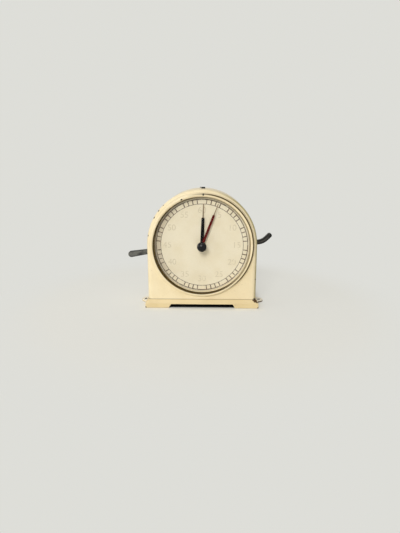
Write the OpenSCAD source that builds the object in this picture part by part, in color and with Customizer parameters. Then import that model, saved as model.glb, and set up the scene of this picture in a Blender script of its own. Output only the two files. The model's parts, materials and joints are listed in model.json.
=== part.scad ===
// Clockwork interval timer with a 60-second dial.
// Frame: X to the right, Y away from the viewer, Z up.
// The origin is on the bench, midway between the two fixing holes.
// Depths are counted from the front face of the case, positive towards the back.

/* [Case] */
// Width of the arched case
case_w = 116; // [108:1:132]
// Depth of the case from its front face to its back edge
case_d = 50; // [50:1:72]
// Thickness of the pressed sheet
sheet = 1.2; // [1:0.1:1.4]
// Rounding of the front edge
edge_r = 5; // [3:0.5:5]
// Straight side length below the arch beyond one case radius
side_extra = 0.5; // [0:0.5:8]

/* [Plinth] */
// Height of the flared plinth
plinth_h = 9; // [8.5:0.5:14]
// Height of the upright apron below the sloping shoulder
apron_h = 5; // [4.6:0.2:7]
// How far the shoulder flares out on every side
flare = 2.4; // [1:0.2:4]
// Ledge of the plinth round the foot of the case
ledge = 0.3; // [0:0.1:1]
// Height of the foot cut-outs in front and back
cutout_h = 4.2; // [4.1:0.1:4.5]
// Radius of the bench screw holes in the ears
ear_hole_r = 1.75; // [1.5:0.25:2]

/* [Dial] */
// Angle of the running hand past zero
seconds_angle = 2; // [0:1:90]
// Angle of the preset pointer past zero
set_angle = 21; // [10:1:120]
// Rise of the domed glass
glass_rise = 2.2; // [1.5:0.1:3]
// Diameter of the centre knob
knob_d = 9.8; // [8:0.2:14]

/* [Levers] */
// Travel of the winding lever
winding_travel = 32; // [20:1:34]
// Travel of the start and stop lever
stop_travel = 18; // [10:1:20]
// Height of the winding lever's bar
winding_bar = 5; // [4:0.2:5.6]
// Height of the stop lever's bar at its thumb end
stop_bar = 6.9; // [5:0.1:7.5]

/* [Movement] */
// Teeth of the great wheel and of the intermediate wheel
drive_teeth = 60; // [54:2:66]
// Leaves of the pinions that they drive
drive_leaves = 12; // [11:1:14]
// Teeth of the centre wheel
centre_teeth = 80; // [76:2:84]
// Leaves of the escape pinion
escape_leaves = 8; // [8:1:9]
// Gap left on each side of a tooth in mesh
backlash = 0.06; // [0.05:0.01:0.08]

/* [Hidden] */
$fn = 96;
fine = 720;
fit = 0.02;
running = 0.05;
apart = 0.15;
lap = 0.1;
weld = 0.4;
end_play = 0.3;
waist = 0.98;
front_y = -case_d / 2;
case_r = case_w / 2;
k = case_r / 58;
dial_z = plinth_h + case_r + side_extra;
inner_r = case_r - sheet;
axis = [0, 0];

// Bezel, glass and dial radii
opening_r = 51.2 * k;
bezel_r = 54.6 * k;
bezel_in_r = opening_r - 0.2;
bezel_band = (bezel_r - bezel_in_r) / 2;
bezel_rise = 3.5;
crown_bands = 16;
collar_t = 1;
collar_back = 2.4;
glass_r = 52 * k;
glass_t = 1.8;
glass_back = -0.8;
dial_r = 52 * k;
dial_t = 0.8;
dial_at = 3.7;
dial_hole_r = 3.2;

// Posts behind the front sheet that carry the movement
post_ring = 54 * k;
post_r = 1.9 * k;
post_angles = [45, 135, 225, 315];

slot_play = 0.7;

// Screws
screw_r = 0.95;
screw_bore = 1;
case_screw_r = 1.45;
case_screw_bore = 1.5;
boss_r = 3.2;
boss_h = 6;
small_head_r = 1.9;
pillar_head_r = 2.2;
head_t = 1.3;
slot_w = 0.5;
deck_head_r = 2.8;
deck_head_t = 1.6;
deck_screw_len = 5;
deck_slot_w = 0.8;
deck_slot_t = 0.7;
thread_depth = 6;
thread_end = 2;
small_screw_len = 6.5;
pillar_screw_len = 7;

// Movement plates, with room behind the back one for the winding work
plate_r = 46 * k;
plate_t = 2;
front_plate_at = 7.5;
winding_room = 16;
back_plate_at = case_d - winding_room;
front_plate_back = front_plate_at + plate_t;
back_plate_back = back_plate_at + plate_t;
pillar_r = 2.5;
pillar_at = 29 * k;
foot_r = 1;
foot_ring = 40 * k;
foot_angles = [30, 150, 270];

// Train: tooth modules and centres, in the plane of the dial
pressure = 20;
addendum = 0.85;
drive_module = 0.7 * k * 72 / (drive_teeth + drive_leaves);
middle_module = 0.6 * k * 72 / (drive_teeth + drive_leaves);
escape_module = 0.5 * k * 88 / (centre_teeth + escape_leaves);
middle_dir = 75;
barrel_dir = -40;
escape_dir = 150;
lever_dir = 250;
middle_c = polar(middle_module * (drive_teeth + drive_leaves) / 2, middle_dir);
barrel_c = middle_c + polar(drive_module * (drive_teeth + drive_leaves) / 2, barrel_dir);
escape_c = polar(escape_module * (centre_teeth + escape_leaves) / 2, escape_dir);
pallet_c = escape_c + polar(10.4 * k, lever_dir);
balance_c = escape_c + polar(25.4 * k, lever_dir);

// Arbor sizes
arbor_r = 1;
pivot_r = 0.5;
centre_r = 1.8;
centre_pivot_r = 1;
hand_seat_r = 1.2;
winding_r = 2.5;
winding_pivot_r = 1.5;
staff_r = 0.9;
staff_pivot_r = 0.45;
pallet_arbor_r = 0.9;
wheel_hub_r = 4.2;
centre_pinion_over = 0.9;
middle_pinion_over = 0.8;
escape_pinion_over = 0.5;

// Depths of the wheels: the train from the front, the escapement and the winding work from the back plate
wheel_t = 1.2;
centre_wheel_at = 11;
middle_wheel_at = 14.5;
great_wheel_at = 18.2;
great_t = 1.8;
drum_at = great_wheel_at + great_t;
drum_clear = 3;
drum_back = back_plate_at - drum_clear;
roller_t = 1;
balance_t = 2;
balance_clear = 7;
balance_at = back_plate_at - balance_clear;
roller_clear = 0.6;
roller_at = balance_at - roller_clear - roller_t;
fork_gap = 0.4;
pallet_at = roller_at - fork_gap - wheel_t;
pallet_gap = 0.6;
escape_wheel_at = pallet_at - pallet_gap - wheel_t;
spring_clear = 1.4;
spring_at = balance_at + balance_t + spring_clear;
ratchet_clear = 1.4;
ratchet_at = back_plate_back + ratchet_clear;
ratchet_t = 1.8;
winding_clear = 0.6;
winding_at = ratchet_at + ratchet_t + winding_clear;
winding_t = 5;
stop_t = 3;
stop_at = balance_at + (balance_t - stop_t) / 2;

// Barrel
drum_r = 18 * k;
drum_wall = 1.2;
cover_t = 1.2;
core_r = 4.5;
strip_t = 0.5;
spring_turns = 7;

// Escapement
escape_r = 7 * k;
escape_root = 5.3 * k;
escape_count = 15;
pallet_pin_r = 0.35;
pallet_pin_ring = 7.85 * k;
pallet_span = 42;
balance_r = 12.5 * k;
balance_rim = 1.5;
roller_r = 3.8;
impulse_ring = 3;
impulse_r = 0.4;
fork_clear = impulse_ring + impulse_r + 0.75;
collet_r = 1.7;
hair_t = 0.25;
hair_out = 7;
hair_turns = 6;
stud_r = 0.6;
balance_screw_r = 1.6;

// Ratchet, pawl and click
ratchet_teeth = 24;
ratchet_r = 9;
ratchet_root = 7.9;
pawl_ring = 14;
pawl_anchor_ring = 26;
pawl_spring_pin_r = 1;
blade_t = 0.6;
pawl_tip_dir = -56;
click_dir = 165;
click_tip_dir = 122;
pawl_range = 10;
catch_w = 2.6;
catch_screw_r = 1.2;
catch_head_r = 2;
catch_head_t = 0.9;
catch_screw_len = 3;
click_anchor_ring = 23;
click_anchor_dir = 98;
click_eye_r = 2.2;
click_blade_at = 1.7;
blade_gap = 0.2;
spring_post_r = 1.6;
spring_post_end = 4.2;
return_eye_r = 2.6;
return_blade_at = 2;
return_t = 0.9;
return_w = 2;
return_inset = 1.4;
return_gap = 0.25;
return_touch_ring = 19;
nut_r = 4;
nut_t = 2;
nut_gap = 0.2;

// Winding lever, from the barrel arbor through the right side
winding_knee = [case_r + 4, -3 * k];
winding_bend = 15 * k;
winding_rise = 45;
winding_tip = 5 * k;
winding_hub_r = 5.5;
winding_heading = heading(barrel_c, winding_knee);
winding_reach = norm(winding_knee - barrel_c);
winding_slot_top = barrel_c[1] + (inner_r - barrel_c[0]) * tan(winding_heading)
    + winding_bar / 2 / cos(winding_heading) + slot_play;
winding_slot_low = barrel_c[1] + winding_reach * sin(winding_heading - winding_travel)
    - winding_bend * (1 - cos(winding_travel)) - winding_bar / 2 - 2 * slot_play;

// Start and stop lever, on a post outside the back plate
stop_c = [-46.5 * k, -9.5 * k];
stop_end = [-79.6 * k, -14.6 * k];
stop_hub_r = 3.2;
stop_root = 4.5;
stop_pin_r = 1.5;
stop_shoulder_r = 2.6;
brake_dir = 150;
brake_t = 1.2;
stop_droop = heading(stop_c, stop_end) + 180;
stop_slot_top = stop_c[1] - (inner_r + stop_c[0]) * tan(stop_droop)
    + stop_bar / 2 / cos(stop_droop) + slot_play;
stop_slot_low = stop_c[1] - (case_r + stop_c[0]) * tan(stop_droop + stop_travel)
    - stop_bar / 2 / cos(stop_droop + stop_travel) - slot_play;

// Knob, pointer and bush in the middle of the glass
bush_r = 2.5;
bush_flange_r = 3.6;
pointer_r = 1.2;
glass_in = glass_back - glass_rise;
glass_out = glass_in - glass_t;
washer_at = glass_out - 0.95;
knob_back = glass_out - 1;
knob_len = 5.7;
knob_r = knob_d / 2;
knob_dome = 2.2;
knob_front = knob_back - knob_len;
knob_wall = 1.5;
flutes = 24;
flute_r = 0.45;

// Running hand and preset pointer
hand_t = 0.4;
hand_at = 1.7;
hand_root = 3.8;
hand_tip = 2.6;
hand_blade = 30.5 * k;
hand_reach = 43.3 * k;
hand_tail = 5;
hand_hub_r = 2.4;
hand_hub_at = hand_at - 0.5;
hand_hub_len = 2;
needle_root = 0.8;
needle_tip = 0.6;
needle_shoulder = 1.2;
pointer_at = -0.6;
pointer_root = 2.6;
pointer_tip = 2.2;
pointer_blade = 34.5 * k;
pointer_reach = 46.5 * k;
pointer_tail = 4;
pointer_hub_r = 2.2;
pointer_hub_at = pointer_at - 0.6;
pointer_hub_len = 1.6;

// Plinth
ear_x = plinth_half(case_r, 0) + 3.6;
ear_r = 8;
ear_t = 1.6;
corner_run = sqrt(2) * flare + (sqrt(2) - 1) * edge_r;
deck_at = plinth_h - sheet;
plinth_screw = [case_r - 8, case_d / 2 - 8];
cutout_w = 1.23 * case_r;

// Case bosses for the back cover
cover_boss_low = [46 * k, -47 * k];
cover_boss_ring = 50 * k;
cover_boss_len = 8;
cover_at = case_d - sheet;

// Plug of the oiling hole in the crest
plug_x = 1;
plug_at = 22;
plug_c = [plug_x, front_y + plug_at];
plug_head_r = 2.1;
plug_head_h = 1.6;
plug_shank_r = 1.2;
plug_len = 3.2;
plug_tab = [3.6, 1.8, 0.7];

cream = [0.88, 0.82, 0.68];
brass = [0.78, 0.62, 0.32];
steel = [0.6, 0.6, 0.6];
blued = [0.2, 0.23, 0.3];
black = [0.07, 0.07, 0.07];

// A point at radius r in direction a
function polar(r, a) = [r * cos(a), r * sin(a)];
// Direction from point p to point q
function heading(p, q) = atan2(q[1] - p[1], q[0] - p[0]);

// Involute teeth. A pinion is shifted out and its wheel in, so that few leaves aren't undercut.
function involute(a) = tan(a) * 180 / PI - a;
function shift_of(leaves) = max(0, (17 - leaves) / 17) * 0.85;
function base_r(m, z) = m * z / 2 * cos(pressure);
function half_tooth(m, z, x, r) =
    (90 + 2 * x * tan(pressure) * 180 / PI) / z
    + involute(pressure)
    - involute(acos(min(1, base_r(m, z) / max(r, base_r(m, z)))))
    - backlash / (m * z / 2) * 180 / PI;
function tooth_radii(m, z, x) =
    let (low = m * (z / 2 - 1.25 + x), high = m * (z / 2 + addendum + x))
    let (start = max(low, base_r(m, z)))
    concat(low < start ? [low] : [], [for (i = [0 : 3]) start + (high - start) * i / 3]);
function tooth_outline(m, z, x, a) =
    let (radii = tooth_radii(m, z, x), n = len(radii) - 1)
    concat(
        [for (i = [0 : n]) polar(radii[i], a - half_tooth(m, z, x, radii[i]))],
        [for (i = [n : -1 : 0]) polar(radii[i], a + half_tooth(m, z, x, radii[i]))]
    );
module gear(m, z, x) {
    polygon([for (i = [0 : z - 1]) each tooth_outline(m, z, x, 360 * i / z)]);
}

// A spiral strip of thickness t between two radii
module spiral(r0, r1, turns, t) {
    steps = turns * 24;
    outer = [for (i = [0 : steps]) polar(r0 + (r1 - r0) * i / steps + t / 2, 15 * i)];
    inner = [for (i = [steps : -1 : 0]) polar(r0 + (r1 - r0) * i / steps - t / 2, 15 * i)];
    polygon(concat(outer, inner));
}

// Moves a shape to a point of the dial's plane
module at(p) {
    translate([p[0], front_y, dial_z + p[1]]) children();
}
// Extrudes a front-view outline from one depth, backwards by t
module slab(from, t) {
    translate([0, from + t, 0]) rotate([90, 0, 0]) linear_extrude(t) children();
}
// A round bar along Y between two depths
module rod(r, from, to) {
    translate([0, to, 0]) rotate([90, 0, 0]) cylinder(r = r, h = to - from);
}
// Turns a profile of radius and depth about Y
module turned() {
    rotate([-90, 0, 0]) rotate_extrude() children();
}
// A flat bar with round ends between two points, its sides a touch narrower than its ends so that they cross
module bar(p, q, w) {
    translate(p) circle(w / 2);
    translate(q) circle(w / 2);
    translate(p) rotate(heading(p, q)) translate([0, -w * waist / 2]) square([norm(q - p), w * waist]);
}
// A wheel's rim, spokes and hub, as an outline to fill with teeth
module crossings(r, hub, spokes, w) {
    difference() {
        circle(r);
        circle(hub);
        for (i = [0 : spokes - 1]) rotate(360 * i / spokes) translate([0, -w / 2]) square([r, w]);
    }
}

// Case

// Plan outline of the case, with rounded front corners
module case_plan(inset) {
    r = edge_r - inset;
    half = case_r - inset;
    translate([-half, front_y + edge_r]) square([2 * half, case_d]);
    translate([-half + r, front_y + inset]) square([2 * (half - r), edge_r]);
    for (side = [-1, 1]) translate([side * (half - r), front_y + edge_r]) circle(r);
}
module case_section() {
    intersection() {
        difference() {
            case_plan(0);
            case_plan(sheet);
        }
        translate([-case_r, front_y]) square([case_w, case_d]);
    }
}
module half_section() {
    intersection() {
        case_section();
        translate([0, front_y]) square([case_r, case_d]);
    }
}
// A threaded boss for the back cover, with its web out to the case wall
module cover_boss(p, web_dir, web) {
    at(p) {
        difference() {
            union() {
                rod(boss_r, cover_at - cover_boss_len, cover_at);
                rotate([0, -web_dir, 0]) translate([0, cover_at - cover_boss_len, -boss_r / 2])
                    cube([web, cover_boss_len, boss_r]);
            }
            rod(screw_bore, cover_at - cover_boss_len + thread_end, cover_at + 1);
        }
    }
}
module plinth_boss(side, back) {
    translate([side * plinth_screw[0], back * plinth_screw[1], plinth_h]) {
        difference() {
            union() {
                cylinder(r = boss_r, h = boss_h);
                translate([side > 0 ? 0 : plinth_screw[0] - inner_r - weld, -boss_r / 2, 0])
                    cube([inner_r + weld - plinth_screw[0], boss_r, boss_h]);
            }
            translate([0, 0, -1]) cylinder(r = case_screw_bore, h = boss_h);
        }
    }
}
// The slot that a lever swings in, through one side of the case
module lever_slot(x, low, high, lever_at, lever_t) {
    at([x, low]) translate([-edge_r, lever_at - slot_play, 0])
        cube([2 * edge_r, lever_t + 2 * slot_play, high - low]);
}
module case_shell() {
    color(cream) {
        difference() {
            union() {
                translate([0, 0, plinth_h]) linear_extrude(dial_z - plinth_h) case_section();
                translate([0, 0, dial_z]) rotate([90, 0, 0]) rotate_extrude(angle = 180)
                    mirror([0, 1]) half_section();
            }
            at(axis) rod(opening_r, -1, sheet + 1);
            lever_slot(case_r, winding_slot_low, winding_slot_top, winding_at, winding_t);
            lever_slot(-case_r, stop_slot_low, stop_slot_top, stop_at, stop_t);
            at_crest() translate([0, 0, -2 * sheet]) cylinder(r = plug_shank_r + running, h = 3 * sheet);
        }
        for (a = post_angles) at(polar(post_ring, a)) difference() {
            rod(post_r, sheet - weld / 2, front_plate_at);
            rod(screw_bore, sheet + 0.6, front_plate_at + 1);
        }
        for (side = [-1, 1]) {
            cover_boss([side * cover_boss_low[0], cover_boss_low[1]], side > 0 ? 0 : 180,
                inner_r + weld - cover_boss_low[0]);
            cover_boss(polar(cover_boss_ring, 90 - side * 45), 90 - side * 45,
                inner_r + weld - cover_boss_ring);
            for (back = [-1, 1]) plinth_boss(side, back);
        }
    }
}

// Half width of the plinth at height z, for a half width of the case
function plinth_half(half, z) = half + ledge + flare * min(1, (plinth_h - z) / (plinth_h - apron_h));
// A prism with upright sides up to the apron's height and leaning ones above, inset by a wall
module skirt_prism(half, length, inset, bottom, top) {
    low = plinth_half(half, bottom) - inset;
    high = plinth_half(half, top) - inset;
    translate([0, length / 2, 0]) rotate([90, 0, 0]) linear_extrude(length) polygon([
        [-low, bottom], [low, bottom], [low, apron_h], [high, top], [-high, top], [-low, apron_h]
    ]);
}
// What slants off a front corner, from nothing at the apron up to the rounding of the case
module corner_cut(side, inset) {
    corner = [plinth_half(case_r, 0) - inset, plinth_half(case_d / 2, 0) - inset];
    translate([side * corner[0], -corner[1], apron_h]) rotate([0, 0, -90 + side * 45])
        rotate([0, atan((plinth_h - apron_h) / corner_run), 0])
        translate([-2 * corner_run, -2 * corner_run, 0])
        cube([4 * corner_run, 4 * corner_run, 2 * corner_run]);
}
module skirt(inset, bottom, top) {
    difference() {
        intersection() {
            skirt_prism(case_r, case_d + 20, inset, bottom, top);
            rotate([0, 0, 90]) skirt_prism(case_d / 2, case_w + 20, inset, bottom, top);
        }
        for (side = [-1, 1]) corner_cut(side, inset);
    }
}
// A half-round tab that screws down to the bench
module ear(side) {
    linear_extrude(ear_t) intersection() {
        translate([side * plinth_half(case_r, 0), 0]) circle(ear_r);
        translate([side > 0 ? case_r : -case_w, -case_r]) square([case_r, case_w]);
    }
}
module plinth() {
    lean = cutout_h * 0.6;
    color(cream) difference() {
        union() {
            difference() {
                skirt(0, 0, plinth_h);
                skirt(sheet, -1, deck_at);
            }
            for (side = [-1, 1]) ear(side);
        }
        translate([0, case_d, 0]) rotate([90, 0, 0]) linear_extrude(2 * case_d) polygon([
            [-cutout_w / 2, -1], [cutout_w / 2, -1], [cutout_w / 2, 0],
            [cutout_w / 2 - lean, cutout_h], [-cutout_w / 2 + lean, cutout_h], [-cutout_w / 2, 0]
        ]);
        for (side = [-1, 1]) {
            translate([side * ear_x, 0, -1]) cylinder(r = ear_hole_r, h = ear_t + 2);
            for (back = [-1, 1]) translate([side * plinth_screw[0], back * plinth_screw[1], deck_at - 1])
                cylinder(r = case_screw_bore + lap, h = sheet + 2);
        }
    }
}
module plinth_screws() {
    color(steel) for (side = [-1, 1]) for (back = [-1, 1])
        translate([side * plinth_screw[0], back * plinth_screw[1], deck_at]) difference() {
            union() {
                translate([0, 0, -deck_head_t]) cylinder(r = deck_head_r, h = deck_head_t);
                translate([0, 0, -lap]) cylinder(r = case_screw_r, h = deck_screw_len);
            }
            translate([-boss_r, -deck_slot_w / 2, -deck_head_t - deck_slot_w])
                cube([2 * boss_r, deck_slot_w, deck_slot_w + deck_slot_t]);
        }
}
// Arched outline of the back cover, inside the case wall
module cover_outline() {
    half = inner_r - 0.2;
    circle(half);
    translate([-half, plinth_h + 0.2 - dial_z]) square([2 * half, dial_z - plinth_h - 0.2]);
}
// Runs its children at each back cover screw
module at_cover_screws() {
    for (side = [-1, 1]) {
        at([side * cover_boss_low[0], cover_boss_low[1]]) children();
        at(polar(cover_boss_ring, 90 - side * 45)) children();
    }
}
module back_cover() {
    color(cream) difference() {
        at(axis) slab(cover_at, sheet) cover_outline();
        at_cover_screws() rod(screw_bore + lap, cover_at - 1, case_d + 1);
    }
}
// A slotted cheese-head screw: head towards the back, shank towards the front
module back_screw(head_r, thick, shank_r, seat, length) {
    difference() {
        union() {
            rod(head_r, seat, seat + thick);
            rod(shank_r, seat - length, seat + lap);
        }
        translate([-head_r, seat + thick / 2, -slot_w / 2]) cube([2 * head_r, thick, slot_w]);
    }
}
// The same screw the other way round
module front_screw(head_r, thick, shank_r, seat, length) {
    translate([0, 2 * seat, 0]) mirror([0, 1, 0]) back_screw(head_r, thick, shank_r, seat, length);
}
module back_cover_screws() {
    color(steel) at_cover_screws() back_screw(small_head_r, head_t, screw_r, case_d, small_screw_len);
}

// Moves a shape to the oiling hole, on the crest of the case
module at_crest() {
    translate([plug_c[0], plug_c[1], dial_z + case_r]) children();
}
// A round plug with a flat thumb tab
module oil_plug() {
    color(black) at_crest() {
        cylinder(r = plug_head_r, h = plug_head_h);
        translate([0, 0, lap - plug_len]) cylinder(r = plug_shank_r, h = plug_len);
        translate([-plug_tab[0], -plug_tab[1] / 2, plug_head_h - plug_tab[2]]) cube(plug_tab);
    }
}

// Bezel, glass and dial

// The half-round crown is turned in narrow bands
module bezel() {
    middle = [(bezel_r + bezel_in_r) / 2, bezel_band - bezel_rise];
    crown = [for (i = [0 : crown_bands]) middle + polar(bezel_band, -180 * i / crown_bands)];
    collar_r = opening_r - lap - collar_t;
    seat = glass_back + running;
    color(cream) at(axis) turned() difference() {
        polygon(concat(crown, [
            [bezel_in_r, seat], [collar_r, seat], [collar_r, collar_back], [collar_r + collar_t, collar_back],
            [collar_r + collar_t, 0], [bezel_r, 0]
        ]));
        translate([bezel_in_r - 2, glass_back - glass_t - apart])
            square([glass_r + running + 2 - bezel_in_r, glass_t + apart + running]);
    }
}
// Ball whose crown lies at the given depth and which reaches the radius edge at a depth of rise behind it
module dome_profile(crown, edge, rise) {
    dome_r = (edge * edge + rise * rise) / (2 * rise);
    translate([0, crown + dome_r]) circle(dome_r, $fn = fine);
}
module glass() {
    color([0.9, 0.95, 0.95, 0.3]) at(axis) turned() intersection() {
        difference() {
            dome_profile(glass_out, glass_r, glass_rise);
            dome_profile(glass_in, glass_r, glass_rise);
        }
        translate([bush_r + running, glass_out - 1])
            square([glass_r - bush_r - running, glass_t + glass_rise + 1]);
    }
}
module glass_bush() {
    color(brass) at(axis) difference() {
        union() {
            rod(bush_flange_r, washer_at + 0.35, glass_out - 0.05);
            rod(bush_r, glass_out - 0.2, glass_in + 0.7);
            rod(bush_flange_r, glass_in + 0.05, glass_in + 0.65);
        }
        rod(pointer_r + running, washer_at, glass_in + 1);
    }
}
module knob_washer() {
    color(brass) at(axis) turned() translate([pointer_r + lap, washer_at + fit]) square([2, 0.3]);
}
module dial_ring() {
    color(cream) at(axis) turned() translate([opening_r, sheet])
        square([dial_r - opening_r, dial_at - sheet]);
}
module dial() {
    color([0.9, 0.84, 0.7]) at(axis) {
        turned() translate([dial_hole_r, dial_at]) square([dial_r - dial_hole_r, dial_t]);
        for (a = foot_angles) translate([foot_ring * cos(a), 0, foot_ring * sin(a)])
            rod(foot_r, dial_at + dial_t - lap, front_plate_back - 0.2);
    }
}

// Hands

// A tapered blade with a fine needle end, pointing up
module hand_outline(root_w, tip_w, blade, reach, tail) {
    polygon([
        [-root_w / 2, 0], [root_w / 2, 0], [tip_w / 2, blade],
        [needle_root / 2, blade + needle_shoulder], [needle_tip / 2, reach],
        [-needle_tip / 2, reach], [-needle_root / 2, blade + needle_shoulder], [-tip_w / 2, blade]
    ]);
    translate([0, -tail / 2]) square([root_w * 0.8, tail], center = true);
}
module seconds_hand() {
    color(black) at(axis) difference() {
        union() {
            slab(hand_at, hand_t) rotate(-seconds_angle)
                hand_outline(hand_root, hand_tip, hand_blade, hand_reach, hand_tail);
            rod(hand_hub_r, hand_hub_at, hand_hub_at + hand_hub_len);
        }
        rod(hand_seat_r + fit, hand_hub_at - 1, hand_hub_at + hand_hub_len + 1);
    }
}
module set_pointer() {
    color([0.62, 0.12, 0.08]) at(axis) difference() {
        union() {
            slab(pointer_at, hand_t) rotate(-set_angle)
                hand_outline(pointer_root, pointer_tip, pointer_blade, pointer_reach, pointer_tail);
            rod(pointer_hub_r, pointer_hub_at, pointer_hub_at + pointer_hub_len);
        }
        rod(pointer_r + fit, pointer_hub_at - 1, pointer_hub_at + pointer_hub_len + 1);
    }
}
module pointer_arbor() {
    color(steel) at(axis) rod(pointer_r, knob_front + knob_wall + lap, pointer_hub_at + pointer_hub_len + lap);
}
module set_knob() {
    color(black) at(axis) difference() {
        turned() intersection() {
            dome_profile(knob_front, knob_r, knob_dome);
            translate([0, knob_front + lap]) square([knob_r, knob_len - lap]);
        }
        for (i = [0 : flutes - 1]) rotate([0, 360 * i / flutes, 0]) translate([knob_r, 0, 0])
            rod(flute_r, knob_front - 1, knob_back - 1);
        rod(pointer_r + fit, knob_front + knob_wall, knob_back + 1);
    }
}

// Movement frame

// Every round hole of the movement plates: centre and radius
plate_bores = [
    [middle_c, pivot_r + running], [escape_c, pivot_r + running], [pallet_c, pivot_r + running],
    [balance_c, balance_screw_r + fit]
];
module plate_holes() {
    for (b = plate_bores) translate(b[0]) circle(b[1]);
    for (x = [-1, 1]) for (y = [-1, 1]) translate([x, y] * pillar_at) circle(screw_bore);
}
module front_plate() {
    tab = polar(norm(stop_c) - 8, heading(axis, stop_c));
    color(brass) at(axis) slab(front_plate_at, plate_t) difference() {
        union() {
            circle(plate_r);
            for (a = post_angles) bar(polar(plate_r - 2, a), polar(post_ring, a), 4.8 * k);
            bar(tab, stop_c, 7);
        }
        plate_holes();
        circle(centre_r + running);
        translate(barrel_c) circle(winding_pivot_r + running);
        translate(stop_c) circle(stop_pin_r + fit);
        for (a = post_angles) translate(polar(post_ring, a)) circle(screw_bore);
        for (a = foot_angles) translate(polar(foot_ring, a)) circle(foot_r + running);
    }
}
module back_plate() {
    color(brass) at(axis) slab(back_plate_at, plate_t) difference() {
        circle(plate_r);
        plate_holes();
        circle(centre_pivot_r + running);
        translate(barrel_c) circle(winding_r + running);
        translate(click_pivot) circle(catch_screw_r + fit);
        translate(click_anchor) circle(catch_screw_r + fit);
        translate(return_anchor) circle(spring_post_r + fit);
        translate(stud_c) circle(stud_r + fit);
    }
}
module pillars() {
    color(steel) for (x = [-1, 1]) for (y = [-1, 1]) at([x, y] * pillar_at) difference() {
        rod(pillar_r, front_plate_back, back_plate_at);
        rod(screw_bore, front_plate_back - 1, front_plate_back + thread_depth);
        rod(screw_bore, back_plate_at - thread_depth, back_plate_at + 1);
    }
}
module pillar_screws() {
    color(steel) for (x = [-1, 1]) for (y = [-1, 1]) at([x, y] * pillar_at) {
        front_screw(pillar_head_r, head_t, screw_r, front_plate_at, pillar_screw_len);
        back_screw(pillar_head_r, head_t, screw_r, back_plate_back, pillar_screw_len);
    }
}
module movement_screws() {
    color(steel) for (a = post_angles) at(polar(post_ring, a))
        back_screw(small_head_r, head_t, screw_r, front_plate_back, small_screw_len);
}

// Going train

module centre_arbor() {
    color(steel) at(axis) {
        rod(hand_seat_r, hand_hub_at - lap, dial_at + dial_t + lap);
        rod(centre_r, dial_at + dial_t, back_plate_at - end_play);
        rod(centre_pivot_r, back_plate_at - end_play - lap, back_plate_back);
        slab(middle_wheel_at - centre_pinion_over, wheel_t + 2 * centre_pinion_over)
            rotate(middle_dir + 180 / drive_leaves)
            gear(middle_module, drive_leaves, shift_of(drive_leaves));
    }
}
// A toothed brass wheel with crossings, bored for its arbor
module train_wheel(m, z, x, phase, spokes, bore) {
    rim = m * (z / 2 - 1.25 + x) - 2 * k;
    difference() {
        rotate(phase) gear(m, z, x);
        crossings(rim, wheel_hub_r, spokes, 2.4 * k);
        circle(bore + fit);
    }
}
module centre_wheel() {
    color(brass) at(axis) slab(centre_wheel_at, wheel_t)
        train_wheel(escape_module, centre_teeth, -shift_of(escape_leaves), escape_dir, 5, centre_r);
}
module intermediate_arbor() {
    color(steel) at(middle_c) {
        rod(pivot_r, front_plate_at, back_plate_back);
        rod(arbor_r, front_plate_back + end_play, back_plate_at - end_play);
        slab(great_wheel_at - middle_pinion_over, great_t + 2 * middle_pinion_over)
            rotate(barrel_dir + 180 / drive_leaves)
            gear(drive_module, drive_leaves, shift_of(drive_leaves));
    }
}
module intermediate_wheel() {
    color(brass) at(middle_c) slab(middle_wheel_at, wheel_t)
        train_wheel(middle_module, drive_teeth, -shift_of(drive_leaves), middle_dir + 180, 5, arbor_r);
}
module escape_arbor() {
    color(steel) at(escape_c) {
        rod(pivot_r, front_plate_at, back_plate_back);
        rod(arbor_r, front_plate_back + end_play, back_plate_at - end_play);
        slab(centre_wheel_at - escape_pinion_over, wheel_t + 2 * escape_pinion_over)
            rotate(escape_dir + 180 + 180 / escape_leaves)
            gear(escape_module, escape_leaves, shift_of(escape_leaves));
    }
}
module escape_wheel() {
    pitch = 360 / escape_count;
    color(brass) at(escape_c) slab(escape_wheel_at, wheel_t) difference() {
        polygon([for (i = [0 : escape_count - 1]) each [
            polar(escape_root, pitch * i), polar(escape_r, pitch * (i + 0.38)),
            polar(escape_r, pitch * (i + 0.46)), polar(escape_root, pitch * (i + 0.6))
        ]]);
        crossings(escape_root - 1.1 * k, 2, 4, 1.2 * k);
        circle(arbor_r + fit);
    }
}

// Spring barrel

module barrel() {
    color(brass) at(barrel_c) {
        slab(great_wheel_at, great_t) difference() {
            rotate(barrel_dir + 180) gear(drive_module, drive_teeth, -shift_of(drive_leaves));
            circle(winding_r + running);
        }
        turned() translate([drum_r - drum_wall, drum_at - lap])
            square([drum_wall, drum_back - drum_at + lap]);
    }
}
module barrel_cover() {
    color(brass) at(barrel_c) turned() translate([winding_r + running, drum_back - cover_t])
        square([drum_r - drum_wall - fit - winding_r - running, cover_t]);
}
module mainspring() {
    color(blued) at(barrel_c) slab(drum_at + end_play, drum_back - cover_t - drum_at - 2 * end_play)
        spiral(core_r + strip_t, drum_r - drum_wall - strip_t, spring_turns, strip_t);
}
module barrel_arbor() {
    color(steel) at(barrel_c) {
        rod(winding_pivot_r, front_plate_at, great_wheel_at - 1);
        rod(winding_r, front_plate_back + end_play, winding_at + winding_t + nut_gap + nut_t);
        rod(core_r, drum_at + 0.2, drum_back - cover_t - 0.2);
    }
}
module arbor_nut() {
    color(steel) at(barrel_c) slab(winding_at + winding_t + nut_gap, nut_t) difference() {
        circle(nut_r, $fn = 6);
        circle(winding_r + fit);
    }
}

// Winding lever, pawl and click

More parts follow.
